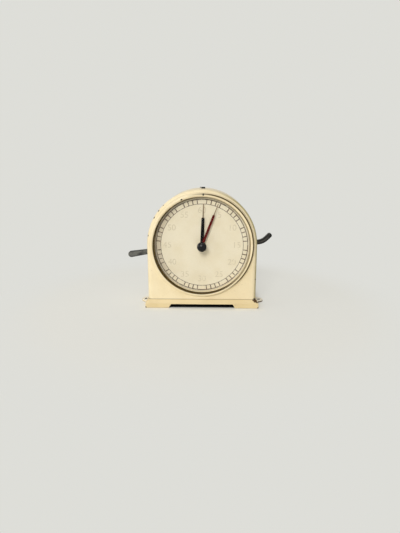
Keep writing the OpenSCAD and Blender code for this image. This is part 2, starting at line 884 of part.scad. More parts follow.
function tooth_ramp(i) = [
    polar(ratchet_root, 360 * i / ratchet_teeth), polar(ratchet_r, 360 * (i + 1) / ratchet_teeth)
];
module ratchet_outline() {
    polygon([for (i = [0 : ratchet_teeth - 1]) each tooth_ramp(i)]);
}
module ratchet_wheel() {
    color(steel) at(barrel_c) slab(ratchet_at, ratchet_t) difference() {
        ratchet_outline();
        circle(winding_r + fit);
    }
}
// Points of the winding lever, counted from the barrel arbor
knee = winding_knee - barrel_c;
bend_c = knee + [0, winding_bend];
bend_end = bend_c + polar(winding_bend, winding_rise - 90);
thumb = bend_end + polar(winding_tip, winding_rise);
pawl_pivot = polar(pawl_ring, winding_heading);
pawl_tip = polar((ratchet_r + ratchet_root) / 2 + 0.6, pawl_tip_dir);
pawl_anchor = polar(pawl_anchor_ring, winding_heading);
module winding_outline() {
    circle(winding_hub_r);
    bar([0, 0], knee, winding_bar);
    intersection() {
        translate(bend_c) difference() {
            circle(winding_bend + winding_bar * waist / 2);
            circle(winding_bend - winding_bar * waist / 2);
        }
        translate(bend_c) polygon([
            [0, 0], polar(2 * winding_bend, -90), polar(2 * winding_bend, winding_rise / 2 - 90),
            polar(2 * winding_bend, winding_rise - 90)
        ]);
    }
    bar(bend_end, thumb, winding_bar);
}
module winding_lever() {
    color([0.1, 0.1, 0.1]) at(barrel_c) slab(winding_at, winding_t) difference() {
        winding_outline();
        circle(winding_r + running);
        translate(pawl_pivot) circle(catch_screw_r + fit);
        translate(pawl_anchor) circle(pawl_spring_pin_r + fit);
    }
}
module winding_pawl() {
    color(steel) at(barrel_c) slab(ratchet_at, ratchet_t) difference() {
        bar(pawl_pivot, pawl_tip, catch_w);
        for (lift = [0 : 2 : pawl_range]) translate(pawl_pivot) rotate(-lift) translate(-pawl_pivot)
            rotate(1.2) scale(1.022) ratchet_outline();
        translate(pawl_pivot) circle(catch_screw_r + running);
    }
}
module pawl_screw() {
    color(steel) at(barrel_c) translate([pawl_pivot[0], 0, pawl_pivot[1]]) {
        rod(catch_head_r, ratchet_at - catch_head_t, ratchet_at - running);
        rod(catch_screw_r, ratchet_at - lap, winding_at + catch_screw_len);
    }
}
module pawl_spring() {
    along = heading(pawl_pivot, pawl_tip);
    touch = pawl_pivot + 0.7 * (pawl_tip - pawl_pivot) + polar(catch_w / 2 + blade_t / 2 + apart, along + 90);
    color(blued) at(barrel_c) {
        slab(ratchet_at, ratchet_t) {
            bar(pawl_anchor, touch, blade_t);
            translate(pawl_anchor) circle(winding_bar / 3);
        }
        translate([pawl_anchor[0], 0, pawl_anchor[1]])
            rod(pawl_spring_pin_r, ratchet_at + 1, winding_at + catch_screw_len);
    }
}
click_pivot = barrel_c + polar(pawl_ring, click_dir);
click_tip = barrel_c + polar(ratchet_r + 1, click_tip_dir);
click_anchor = barrel_c + polar(click_anchor_ring, click_anchor_dir);
module click() {
    color(steel) at(axis) slab(ratchet_at, ratchet_t) difference() {
        bar(click_pivot, click_tip, catch_w);
        translate(barrel_c) circle(ratchet_r + apart);
        translate(click_pivot) circle(catch_screw_r + running);
    }
}
module click_screws() {
    color(steel) {
        seat = ratchet_at + ratchet_t + running;
        for (p = [click_pivot, click_anchor]) at(p)
            back_screw(catch_head_r, catch_head_t, catch_screw_r, seat, ratchet_t + catch_screw_len);
    }
}
module click_spring() {
    touch = click_tip + polar(catch_w / 2 + blade_t / 2 + blade_gap, click_tip_dir + 10);
    color(blued) at(axis) slab(ratchet_at, ratchet_t) difference() {
        union() {
            translate(click_anchor) circle(click_eye_r);
            bar(click_anchor - [click_blade_at, 0], touch, blade_t);
        }
        translate(click_anchor) circle(catch_screw_r + fit);
    }
}
return_anchor = [31, -24] * k;
module spring_post() {
    color(steel) at(return_anchor) rod(spring_post_r, back_plate_at, winding_at + spring_post_end);
}
module lever_return_spring() {
    touch = barrel_c + polar(return_touch_ring, winding_heading)
        + polar(winding_bar / 2 + return_t / 2 + return_gap, winding_heading - 90);
    color(blued) at(axis) slab(winding_at + return_inset, return_w) difference() {
        union() {
            translate(return_anchor) circle(return_eye_r);
            bar(return_anchor + [return_blade_at, 0], touch, return_t);
        }
        translate(return_anchor) circle(spring_post_r + fit);
    }
}

// Escapement

module pallet_arbor() {
    color(steel) at(pallet_c) {
        rod(pivot_r, front_plate_at, back_plate_back);
        rod(pallet_arbor_r, front_plate_back + end_play, back_plate_at - end_play);
    }
}
// A pallet pin's place, counted from the pallet arbor
function pallet_pin(side) =
    escape_c + polar(pallet_pin_ring, lever_dir + side * pallet_span) - pallet_c;
module pallet_lever() {
    fork = polar(norm(balance_c - pallet_c) - fork_clear + 1, lever_dir);
    color(steel) at(pallet_c) {
        slab(pallet_at, wheel_t) difference() {
            union() {
                circle(2);
                for (side = [-1, 1]) bar([0, 0], pallet_pin(side), 1.4);
                bar([0, 0], fork, 1.6);
                translate(fork) rotate(lever_dir) square([2, 4.4], center = true);
            }
            circle(pallet_arbor_r + fit);
            translate(balance_c - pallet_c) circle(fork_clear);
        }
        for (side = [-1, 1]) translate([pallet_pin(side)[0], 0, pallet_pin(side)[1]])
            rod(pallet_pin_r, escape_wheel_at - 0.6, pallet_at + 0.2);
    }
}
module balance_staff() {
    color(steel) at(balance_c) {
        rod(staff_r, front_plate_back + 0.8, back_plate_at - 0.8);
        rod(staff_pivot_r, front_plate_back - 0.4, back_plate_at + 0.4);
    }
}
module balance_wheel() {
    color(brass) at(balance_c) slab(balance_at, balance_t) difference() {
        circle(balance_r);
        crossings(balance_r - balance_rim, 2.4, 3, 1.6);
        circle(staff_r + fit);
    }
}
module balance_roller() {
    color(steel) at(balance_c) {
        slab(roller_at, roller_t) difference() {
            circle(roller_r);
            circle(staff_r + fit);
        }
        translate([impulse_ring * cos(lever_dir + 180), 0, impulse_ring * sin(lever_dir + 180)])
            rod(impulse_r, pallet_at - 0.2, roller_at + 0.2);
    }
}
stud_c = balance_c + [hair_out + hair_t / 2 + stud_r + lap, 0];
module hairspring() {
    color(blued) at(balance_c) slab(spring_at, 0.8) difference() {
        union() {
            circle(collet_r);
            spiral(collet_r - lap, hair_out, hair_turns, hair_t);
        }
        circle(staff_r + fit);
    }
}
module hairspring_stud() {
    color(brass) at(stud_c) rod(stud_r, spring_at - 0.2, back_plate_back);
}
module balance_screws() {
    color(steel) at(balance_c) {
        difference() {
            rod(balance_screw_r, front_plate_at - 1, front_plate_back + 0.6);
            rod(staff_pivot_r + running, front_plate_back - 0.6, front_plate_back + 1);
        }
        difference() {
            rod(balance_screw_r, back_plate_at - 0.6, back_plate_back + 1);
            rod(staff_pivot_r + running, back_plate_at - 1, back_plate_at + 0.6);
        }
    }
}

// Start and stop lever

module stop_outline() {
    reach = norm(stop_end - stop_c);
    circle(stop_hub_r);
    rotate(heading(stop_c, stop_end)) {
        polygon([[0, -stop_root / 2], [reach, -stop_bar / 2], [reach, stop_bar / 2], [0, stop_root / 2]]);
        translate([reach, 0]) circle(stop_bar / 2);
    }
}
brake_at = balance_c + polar(balance_r + apart + brake_t / 2, brake_dir);
module stop_lever() {
    color([0.35, 0.35, 0.35]) at(stop_c) slab(stop_at, stop_t) difference() {
        union() {
            stop_outline();
            bar([0, 0], brake_at - stop_c, 3);
        }
        translate(balance_c - stop_c) circle(balance_r + apart + brake_t);
        circle(stop_pin_r + running);
    }
}
module brake_pad() {
    color([0.45, 0.3, 0.2]) at(balance_c) slab(stop_at, stop_t) intersection() {
        difference() {
            circle(balance_r + apart + brake_t - fit);
            circle(balance_r + apart);
        }
        rotate(brake_dir) translate([balance_r - 1, -1.5]) square([4, 3]);
    }
}
module stop_lever_post() {
    color(steel) at(stop_c) {
        rod(stop_pin_r, front_plate_at, stop_at + stop_t + 1.4);
        rod(stop_shoulder_r, front_plate_back, stop_at - lap);
    }
}
module stop_lever_washer() {
    color(steel) at(stop_c) turned() translate([stop_pin_r + fit, stop_at + stop_t + lap]) square([1.4, 1]);
}

case_shell();
plinth();
plinth_screws();
back_cover();
back_cover_screws();
oil_plug();
bezel();
glass();
glass_bush();
knob_washer();
dial_ring();
dial();
front_plate();
back_plate();
pillars();
pillar_screws();
movement_screws();
seconds_hand();
centre_arbor();
centre_wheel();
intermediate_arbor();
intermediate_wheel();
barrel();
barrel_cover();
mainspring();
barrel_arbor();
arbor_nut();
ratchet_wheel();
winding_lever();
winding_pawl();
pawl_screw();
pawl_spring();
click();
click_screws();
click_spring();
lever_return_spring();
spring_post();
escape_arbor();
escape_wheel();
pallet_arbor();
pallet_lever();
balance_staff();
balance_wheel();
balance_roller();
hairspring();
hairspring_stud();
balance_screws();
stop_lever();
brake_pad();
stop_lever_post();
stop_lever_washer();
set_knob();
pointer_arbor();
set_pointer();
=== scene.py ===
"""Looks of a clockwork interval timer: enamelled case, printed dial, hands, levers and stage."""

import json
import math

import bmesh
import bpy
from mathutils import Matrix, Vector


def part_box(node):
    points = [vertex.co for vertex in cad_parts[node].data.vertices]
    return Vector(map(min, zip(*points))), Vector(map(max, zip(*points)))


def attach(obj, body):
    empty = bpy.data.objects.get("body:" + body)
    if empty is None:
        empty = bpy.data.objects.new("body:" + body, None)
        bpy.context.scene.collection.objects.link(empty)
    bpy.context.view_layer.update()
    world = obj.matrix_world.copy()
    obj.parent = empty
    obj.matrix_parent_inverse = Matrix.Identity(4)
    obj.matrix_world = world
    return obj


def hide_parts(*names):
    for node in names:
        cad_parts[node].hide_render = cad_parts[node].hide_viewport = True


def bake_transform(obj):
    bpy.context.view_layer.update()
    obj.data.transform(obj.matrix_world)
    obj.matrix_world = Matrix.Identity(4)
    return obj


bl_info = {
    "name": "Interval Timer",
    "version": (1, 0, 0),
    "blender": (4, 5, 0),
    "location": "View3D > Sidebar > Timer",
    "description": "Dresses the parts of a clockwork interval timer and sets its stage",
    "category": "Object",
}

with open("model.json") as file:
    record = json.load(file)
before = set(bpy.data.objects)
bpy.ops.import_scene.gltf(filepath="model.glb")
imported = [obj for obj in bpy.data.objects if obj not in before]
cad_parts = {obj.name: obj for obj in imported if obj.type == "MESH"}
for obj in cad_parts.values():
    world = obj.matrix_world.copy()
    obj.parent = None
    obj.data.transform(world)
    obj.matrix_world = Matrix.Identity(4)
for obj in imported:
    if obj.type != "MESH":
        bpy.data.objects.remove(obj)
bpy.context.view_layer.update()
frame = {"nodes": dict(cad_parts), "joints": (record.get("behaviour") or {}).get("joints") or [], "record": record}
nodes = frame["nodes"]
joints = {joint["name"]: joint for joint in frame["joints"]}
groups = frame["record"]["behaviour"]["bodies"]
bodies = {node: body for body, group in groups.items() for node in group}
slots = {part["node"]: part["material_slot"] for part in frame["record"]["subparts"]}

MM = 0.001
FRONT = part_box("case_shell")[0].y
SEAM_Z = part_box("case_shell")[0].z
DIAL_Z = joints["preset_turn"]["pos_m"][2]
DIAL_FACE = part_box("dial")[0].y
SECONDS, FIVE = 60, 5

RIGHT, BACK, UP = (1.0, 0.0, 0.0), (0.0, 1.0, 0.0), (0.0, 0.0, 1.0)
FACE_ON = (1.0, 0.0, 1.0)  # weighs the axes so that depth doesn't count
UPRIGHT = Matrix.Rotation(math.radians(90), 4, "X")  # turns what lies flat to face the front

MERGED = 0.001 * MM  # corners closer than this become one
LEVEL = 0.2  # faces that turn by fewer degrees than this become one
SHARP = 28.0  # edges that turn by more degrees than this stay sharp
TURNED_SHARP = 40.0  # the same on turned and blown pieces
KNOB_SHARP = 24.0  # the same between the knob's flutes

ENAMEL_CLOUD = (0.965, 0.945, 0.9)
SPECK_BROWN = (0.3, 0.2, 0.09)
# brown of painted shade, with some grime
SHADE_AND_GRIME_BROWN = (0.075, 0.047, 0.01)
CHIPPED_STEEL = (0.016, 0.011, 0.007)
RUSTED_STEEL = (0.085, 0.042, 0.012)
# near black of bare steel, which inside the plinth also stands in for shade
BARE_STEEL_AND_SHADE = (0.008, 0.006, 0.005)
# olive of the painted shade on the case's right edge
PAINTED_SHADE_OLIVE = (0.48, 0.41, 0.2)
# pale of the painted light on the plinth's ear tops
PAINTED_LIGHT_PALE = (0.84, 0.79, 0.67)
CARD_PATCH = (0.95, 0.93, 0.88)
# brown of the dial's margin and of a painted dark reflection and shade
CARD_BROWN_AND_REFLECTION = (0.42, 0.34, 0.24)
DUST_GREY = (0.05, 0.047, 0.042)
HAND_BLACK = (0.002, 0.002, 0.002)
NEEDLE_METAL = (0.2, 0.14, 0.08)
# near black of the painted shade on the floor under the plinth
PAINTED_SHADE_UNDER_PLINTH = (0.012, 0.011, 0.009)
KEY_LIGHT = (1.0, 0.985, 0.95)
ROOM_LIGHT = (1.0, 0.97, 0.91)


# Materials

class Finish:
    """A procedural material whose nodes are added one at a time, all reading the piece's own
    coordinates."""

    def __init__(self, name):
        self.material = bpy.data.materials.new(name)
        self.material.use_nodes = True
        self.tree = self.material.node_tree
        self.shader = self.tree.nodes["Principled BSDF"]
        self.place = self.tree.nodes.new("ShaderNodeTexCoord").outputs["Object"]

    def set(self, **values):
        """Set the shader's own sockets, with underscores for the spaces in their names."""
        for name, value in values.items():
            self.shader.inputs[name.replace("_", " ")].default_value = value

    def link(self, source, target):
        self.tree.links.new(source, target)

    def add(self, kind, settings=None, **sockets):
        """Add a node with its settings and its sockets. A socket goes by its name, with underscores
        for spaces, or by i and its number, and takes a number, a colour or a node's output."""
        node = self.tree.nodes.new("ShaderNode" + kind)
        for name, value in (settings or {}).items():
            setattr(node, name, value)
        for name, value in sockets.items():
            by_number = name[0] == "i" and name[1:].isdigit()
            socket = node.inputs[int(name[1:]) if by_number else name.replace("_", " ")]
            if isinstance(value, bpy.types.NodeSocket):
                self.link(value, socket)
            else:
                socket.default_value = value
        return node

    def noise(self, scale, detail=4.0, rough=0.55):
        """Cloudy noise, so many waves to the metre."""
        node = self.add("TexNoise", Vector=self.place, Scale=scale, Detail=detail, Roughness=rough)
        return node.outputs["Fac"]

    def math(self, operation, a, b=0.0):
        """One sum, which stays between 0 and 1 where it adds."""
        settings = {"operation": operation, "use_clamp": operation == "ADD"}
        return self.add("Math", settings, i0=a, i1=b).outputs[0]

    def times(self, a, b):
        return self.math("MULTIPLY", a, b)

    def less(self, a, b):
        return self.math("SUBTRACT", a, b)

    def band(self, value, low, high):
        """A value's share of the way from low to high, smoothly from 0 to 1."""
        settings = {"interpolation_type": "SMOOTHSTEP"}
        node = self.add("MapRange", settings, i0=value, From_Min=low, From_Max=high)
        return node.outputs["Result"]

    def outside(self, value, low, high):
        """The other way round from band: 1 below low, 0 above high."""
        return self.less(1.0, self.band(value, low, high))

    def strip(self, value, rise, fall):
        """1 between two slopes and 0 beyond them, each slope given by its low and high end."""
        return self.times(self.band(value, *rise), self.outside(value, *fall))

    def mix(self, share, a, b):
        """One colour turning into another."""
        return self.add("Mix", {"data_type": "RGBA"}, i0=share, i6=a, i7=b).outputs[2]

    def vector(self, operation, a, b=(0.0, 0.0, 0.0)):
        return self.add("VectorMath", {"operation": operation}, i0=a, i1=b)

    def distance(self, point, stretch=(1.0, 1.0, 1.0)):
        """How far the surface is from a point, in metres, with each axis weighed."""
        away = self.vector("SUBTRACT", self.place, point).outputs[0]
        away = self.vector("MULTIPLY", away, stretch).outputs[0]
        return self.vector("LENGTH", away).outputs["Value"]

    def along(self, direction):
        """How far the surface lies along a direction from the origin, in metres."""
        return self.vector("DOT_PRODUCT", self.place, direction).outputs["Value"]

    def radius(self):
        """How far the surface is from the dial's axis, in metres."""
        return self.distance((0.0, 0.0, DIAL_Z), FACE_ON)

    def colour(self, socket):
        self.link(socket, self.shader.inputs["Base Color"])

    def rough(self, low, high, scale):
        """Roughness that wanders between two values."""
        node = self.add("MapRange", i0=self.noise(scale, 6.0), To_Min=low, To_Max=high)
        self.link(node.outputs["Result"], self.shader.inputs["Roughness"])

    def bump(self, height, depth, strength):
        """Raise the surface by a height field, depth metres at most."""
        node = self.add("Bump", Height=height, Distance=depth, Strength=strength)
        self.link(node.outputs["Normal"], self.shader.inputs["Normal"])

    def surface(self, socket):
        """Show another shader than the plain one."""
        self.link(socket, self.tree.nodes["Material Output"].inputs["Surface"])


def tinted(colour, tint):
    """An opaque colour with each of its channels weighed."""
    return (colour[0] * tint[0], colour[1] * tint[1], colour[2] * tint[2], 1.0)


def rgba(colour, shade=1.0):
    return tinted(colour, (shade, shade, shade))


def enamel(name, colour, chips, grime, bare=None, steel=CHIPPED_STEEL, faded=None, shading_colour=()):
    """Aged stove enamel: clouds, orange peel, painted shading that turns a place lighter or
    darker to another colour, brown painted shade with some grime, and dark steel where it is
    chipped or bare, the bare steel also standing in for shade. Chips are a place and a size,
    in millimetres."""
    finish = Finish(name)
    finish.set(Specular_IOR_Level=0.15, Coat_Weight=0.05, Coat_Roughness=0.15)
    cloud = finish.band(finish.noise(38.0, 5.0), 0.35, 0.7)
    base = finish.mix(cloud, rgba(colour, 1.02), tinted(colour, ENAMEL_CLOUD))
    # painted shading: a place given a lighter or darker colour that stands in for light and shade
    if faded:
        base = finish.mix(faded(finish), base, rgba(shading_colour))
    specks = finish.band(finish.noise(900.0, 2.0), 0.68, 0.74)
    base = finish.mix(finish.times(specks, 0.35), base, rgba(SPECK_BROWN))
    # brown painted shade, with some grime
    base = finish.mix(grime(finish), base, rgba(SHADE_AND_GRIME_BROWN))
    ragged = finish.times(finish.less(finish.noise(1100.0, 3.0), 0.5), 1.6 * MM)
    worn = 0.0
    for point, size in chips:
        reach = finish.less(finish.distance([c * MM for c in point]), ragged)
        chip = finish.outside(reach, size * 0.8 * MM, size * 1.05 * MM)
        worn = finish.math("ADD", worn, chip)
    base = finish.mix(worn, base, rgba(steel))
    # bare steel, near black, which also stands in for shade
    if bare:
        base = finish.mix(bare(finish), base, rgba(BARE_STEEL_AND_SHADE))
    finish.colour(base)
    finish.rough(0.26, 0.42, 160.0)
    peel = finish.times(finish.noise(700.0, 2.0), 0.3)
    finish.bump(finish.less(peel, worn), 0.12 * MM, 0.35)
    return finish.material


def printed_card(name, colour, margin):
    """The dial's matt paint, yellowed in patches, browner in the margin outside a radius, and
    with a painted dark reflection and shade under the left of the printed ring."""
    finish = Finish(name)
    finish.set(Specular_IOR_Level=0.25)
    patch = finish.band(finish.noise(60.0, 6.0, 0.6), 0.35, 0.72)
    base = finish.mix(patch, rgba(colour), tinted(colour, CARD_PATCH))
    fine = finish.band(finish.noise(420.0, 3.0), 0.5, 0.8)
    base = finish.mix(finish.times(fine, 0.3), base, rgba(colour, 0.86))
    radius = finish.radius()
    rim = finish.band(radius, margin, margin + 1.2 * MM)
    # painted dark reflection and shade under the left of the printed ring
    left = finish.band(finish.along((-1.0, 0.0, 0.1)), 34.0 * MM, 46.0 * MM)
    under = finish.times(finish.band(radius, margin - 5.4 * MM, margin - 4.4 * MM), left)
    margin_and_reflection = finish.math("ADD", finish.times(rim, 0.12), finish.times(under, 0.5))
    finish.colour(finish.mix(margin_and_reflection, base, rgba(CARD_BROWN_AND_REFLECTION)))
    finish.rough(0.5, 0.65, 300.0)
    finish.bump(finish.noise(1500.0, 2.0), 0.02 * MM, 0.3)
    return finish.material


def printing_ink(name, colour, worn):
    """Ink that has worn thin in places, so that the card shows through."""
    finish = Finish(name)
    finish.set(Specular_IOR_Level=0.2, Roughness=0.6)
    thin = finish.band(finish.noise(500.0, 4.0), 0.45, 0.75)
    finish.colour(finish.mix(thin, rgba(colour), rgba(worn)))
    return finish.material


def lacquered_hand(name, colour, reach):
    """A lacquered hand whose thin end beyond a radius is bare, darkened metal."""
    finish = Finish(name)
    finish.set(Specular_IOR_Level=0.05)
    streak = finish.band(finish.noise(300.0, 4.0), 0.4, 0.8)
    paint = finish.mix(finish.times(streak, 0.4), rgba(colour), rgba(colour, 1.8))
    end = finish.band(finish.radius(), reach - 0.3 * MM, reach + 0.3 * MM)
    finish.colour(finish.mix(end, paint, rgba(NEEDLE_METAL)))
    finish.rough(0.5, 0.65, 500.0)
    return finish.material


def moulded_black(name, colour):
    """Glossy moulded black with dust and fine handling scratches."""
    finish = Finish(name)
    finish.set(Specular_IOR_Level=0.22)
    dust = finish.band(finish.noise(900.0, 4.0), 0.55, 0.85)
    finish.colour(finish.mix(finish.times(dust, 0.25), rgba(colour), rgba(DUST_GREY)))
    finish.rough(0.18, 0.34, 700.0)
    finish.bump(finish.noise(2200.0, 2.0), 0.02 * MM, 0.2)
    return finish.material


def oxidised_steel(name, colour, sheen_colour, middle):
    """Blackened steel with a painted highlight along its middle, which a function finds, paler
    as the sheen of a rounded bar would be.
    """
    finish = Finish(name)
    finish.set(Metallic=0.2, Specular_IOR_Level=0.3)
    # painted highlight along the middle
    painted_sheen = finish.band(finish.noise(160.0, 6.0, 0.65), 0.3, 0.6)
    base = finish.mix(finish.times(painted_sheen, middle(finish)), rgba(colour), rgba(sheen_colour))
    pits = finish.band(finish.noise(1300.0, 3.0), 0.64, 0.72)
    finish.colour(finish.mix(finish.times(pits, 0.6), base, rgba(colour, 0.5)))
    finish.rough(0.4, 0.6, 260.0)
    finish.bump(finish.noise(800.0, 5.0), 0.05 * MM, 0.35)
    return finish.material


def turned_metal(name, colour, dull, roughness):
    """Brass or steel with a drawn grain and a little tarnish."""
    finish = Finish(name)
    finish.set(Metallic=1.0)
    tarnish = finish.band(finish.noise(140.0, 5.0), 0.4, 0.75)
    finish.colour(finish.mix(tarnish, rgba(colour), rgba(dull)))
    finish.rough(roughness, roughness + 0.16, 420.0)
    grain = finish.add("TexWave", {"wave_type": "RINGS", "rings_direction": "Y"},
                       Vector=finish.place, Scale=900.0, Distortion=2.0, Detail=2.0)
    finish.bump(grain.outputs["Fac"], 0.01 * MM, 0.15)
    return finish.material


def brake_leather(name, colour):
    """Pressed leather of the small brake pad."""
    finish = Finish(name)
    finish.set(Specular_IOR_Level=0.3)
    grain = finish.add("TexVoronoi", Vector=finish.place, Scale=1600.0).outputs["Distance"]
    finish.colour(finish.mix(grain, rgba(colour), rgba(colour, 0.5)))
    finish.rough(0.6, 0.8, 600.0)
    finish.bump(grain, 0.05 * MM, 0.5)
    return finish.material


def clear_crystal(name):
    """Clear glass that lets the lamps through to the dial, with wiped streaks in its gloss."""
    finish = Finish(name)
    finish.set(Base_Color=(1.0, 1.0, 1.0, 1.0), Transmission_Weight=1.0, IOR=1.15)
    finish.rough(0.0, 0.05, 90.0)
    path = finish.add("LightPath")
    clear = finish.add("BsdfTransparent").outputs[0]
    shown = finish.shader.outputs[0]
    for ray in ("Is Shadow Ray", "Is Diffuse Ray"):
        shown = finish.add("MixShader", Fac=path.outputs[ray], i1=shown, i2=clear).outputs[0]
    finish.surface(shown)
    return finish.material


# Pieces

def coat(node, material):
    """Give a node that stays in view its finish."""
    nodes[node].data.materials.clear()
    nodes[node].data.materials.append(material)


def piece(name, bm, material, body, replaces=(), smooth=None):
    """Turn a bmesh into an object that rides on a body, if one is given, smooth except at edges
    sharper than an angle."""
    mesh = bpy.data.meshes.new(name)
    bm.to_mesh(mesh)
    bm.free()
    mesh.materials.append(material)
    if smooth is not None:
        mesh.shade_smooth()
        mesh.set_sharp_from_angle(angle=math.radians(smooth))
    made = bpy.data.objects.new(name, mesh)
    bpy.context.scene.collection.objects.link(made)
    if body:
        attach(made, body)
    if replaces:
        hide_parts(*replaces)
    return made


def solid_copy(node):
    """A copy of a node's solid with its loose triangles joined and its flat faces made whole."""
    bm = bmesh.new()
    bm.from_mesh(nodes[node].data)
    bmesh.ops.remove_doubles(bm, verts=bm.verts, dist=MERGED)
    bmesh.ops.dissolve_limit(bm, angle_limit=math.radians(LEVEL), verts=bm.verts, edges=bm.edges,
                             use_dissolve_boundaries=False)
    return bm


def dress(node, name, bm, material, bevel, segments=2, smooth=SHARP):
    """Stand a reshaped copy of a node in its place, with its sharp edges rounded over."""
    made = piece(name, bm, material, bodies[node], [node], smooth)
    rounding = made.modifiers.new("Rounded edges", "BEVEL")
    rounding.width = bevel
    rounding.segments = segments
    rounding.limit_method = "ANGLE"
    rounding.angle_limit = math.radians(smooth)
    rounding.miter_outer = "MITER_ARC"
    even = made.modifiers.new("Even shading", "WEIGHTED_NORMAL")
    even.keep_sharp = True


def dressed(node, name, material, bevel, segments=2, smooth=SHARP):
    """The same for a plain copy."""
    dress(node, name, solid_copy(node), material, bevel, segments, smooth)


def lathe(profile, steps):
    """Spin a closed profile of radius and depth, in millimetres, about the dial's axis."""
    bm = bmesh.new()
    corners = [bm.verts.new((r * MM, FRONT + depth * MM, DIAL_Z)) for r, depth in profile]
    edges = [bm.edges.new((a, b)) for a, b in zip(corners, corners[1:] + corners[:1])]
    bmesh.ops.spin(bm, geom=corners + edges, cent=(0.0, 0.0, DIAL_Z), axis=BACK, angle=math.tau,
                   steps=steps, use_merge=True)
    bmesh.ops.remove_doubles(bm, verts=bm.verts, dist=MERGED)
    bmesh.ops.recalc_face_normals(bm, faces=bm.faces)
    return bm


def arc(centre, radius, start, end, count):
    """Points of radius and depth along a circle, from one angle to another."""
    angles = [math.radians(start + (end - start) * i / count) for i in range(count + 1)]
    return [(centre[0] + radius * math.cos(a), centre[1] + radius * math.sin(a)) for a in angles]


# Sizes and colours that a user may change

class TimerSizes(bpy.types.PropertyGroup):
    """Sizes of what is added to the solids."""

    case_rounding: bpy.props.FloatProperty(
        name="Case rounding", description="Rounding of the sheet's cut edges",
        default=0.35 * MM, unit="LENGTH")
    plinth_rounding: bpy.props.FloatProperty(
        name="Plinth rounding", description="Rounding of the plinth's folds",
        default=0.7 * MM, unit="LENGTH")
    lever_rounding: bpy.props.FloatProperty(
        name="Lever rounding", description="Rounding of the levers' edges",
        default=1.2 * MM, unit="LENGTH")
    chapter_inner: bpy.props.FloatProperty(
        name="Inner chapter line", description="Radius of the dial's inner line",
        default=43.4 * MM, unit="LENGTH")
    chapter_outer: bpy.props.FloatProperty(
        name="Outer chapter line", description="Radius of the dial's outer line",
        default=48.1 * MM, unit="LENGTH")
    numeral_radius: bpy.props.FloatProperty(
        name="Numeral radius", description="Radius on which the numerals stand",
        default=36.5 * MM, unit="LENGTH")
    numeral_height: bpy.props.FloatProperty(
        name="Numeral height", description="Height of the numerals",
        default=6.3 * MM, unit="LENGTH")


class TimerColours(bpy.types.PropertyGroup):
    """Colours of the finishes."""

    case_cream: bpy.props.FloatVectorProperty(
        name="Case cream", description="Enamel of the case",
        subtype="COLOR", default=(0.83, 0.72, 0.495))
    plinth_cream: bpy.props.FloatVectorProperty(
        name="Plinth cream", description="Enamel of the plinth",
        subtype="COLOR", default=(0.72, 0.59, 0.35))
    dial_cream: bpy.props.FloatVectorProperty(
        name="Dial cream", description="Paint of the dial",
        subtype="COLOR", default=(0.76, 0.695, 0.54))
    ink: bpy.props.FloatVectorProperty(
        name="Ink", description="Printing of the chapter ring",
        subtype="COLOR", default=(0.13, 0.092, 0.065))
    faint_ink: bpy.props.FloatVectorProperty(
        name="Faint ink", description="Faded numerals",
        subtype="COLOR", default=(0.61, 0.54, 0.39))
    pointer_red: bpy.props.FloatVectorProperty(
        name="Pointer red", description="Lacquer of the preset pointer",
        subtype="COLOR", default=(0.085, 0.004, 0.003))
    floor: bpy.props.FloatVectorProperty(
        name="Floor", description="Paper of the floor",
        subtype="COLOR", default=(0.88, 0.87, 0.81))
    backdrop: bpy.props.FloatVectorProperty(
        name="Backdrop", description="Paper far behind, as it is seen",
        subtype="COLOR", default=(0.73, 0.73, 0.69))


def sizes():
    return bpy.context.scene.timer_sizes


def colours():
    return bpy.context.scene.timer_colours


# Operators

class TIMER_OT_movement(bpy.types.Operator):
    """Give every part of the clockwork its metal"""

    bl_idname = "timer.movement"
    bl_label = "Clockwork"

    lengths = 16

    def spring(self, node, follows, fixed, eye, material):
        """Cut a flat spring's blade into short lengths, so that its free end could bend; nothing
        here bends it, and the piece that it presses is not used. Its fixed eye lies in the lowest
        or highest corner of its box."""
        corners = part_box(node)
        start, end = corners[fixed].copy(), corners[1 - fixed].copy()
        inward = eye if fixed == 0 else -eye
        start += Vector((inward, 0.0, inward))
        start.y = end.y = (corners[0].y + corners[1].y) / 2
        bm = solid_copy(node)
        for cut in range(1, self.lengths):
            bmesh.ops.bisect_plane(bm, geom=bm.verts[:] + bm.edges[:] + bm.faces[:], dist=MERGED,
                                   plane_co=start.lerp(end, cut / self.lengths),
                                   plane_no=end - start)
        made = piece(node + "_bent", bm, material, None, [node], SHARP)
        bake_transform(made)

    def execute(self, context):
        blued = turned_metal("blued_spring_steel", (0.05, 0.07, 0.16), (0.1, 0.08, 0.1), 0.3)
        steel = turned_metal("turned_steel", (0.56, 0.56, 0.55), (0.36, 0.34, 0.32), 0.26)
        metals = {
            "brass": turned_metal("rolled_brass", (0.7, 0.47, 0.17), (0.46, 0.28, 0.09), 0.24),
            "steel": steel,
            "blued_steel": blued,
            "brake_leather": brake_leather("brake_pad_leather", (0.22, 0.11, 0.05)),
        }
        for node, slot in slots.items():
            if slot in metals:
                coat(node, metals[slot])
        for node in ("back_cover_screws", "plinth_screws"):
            dressed(node, node + "_finished", steel, bevel=0.15 * MM)
        lowest, highest = 0, 1
        self.spring("click_spring", "click", highest, 2.2 * MM, blued)
        self.spring("pawl_spring", "pawl", highest, 1.7 * MM, blued)
        self.spring("lever_return_spring", "winding_handle", lowest, 2.6 * MM, blued)
        return {"FINISHED"}


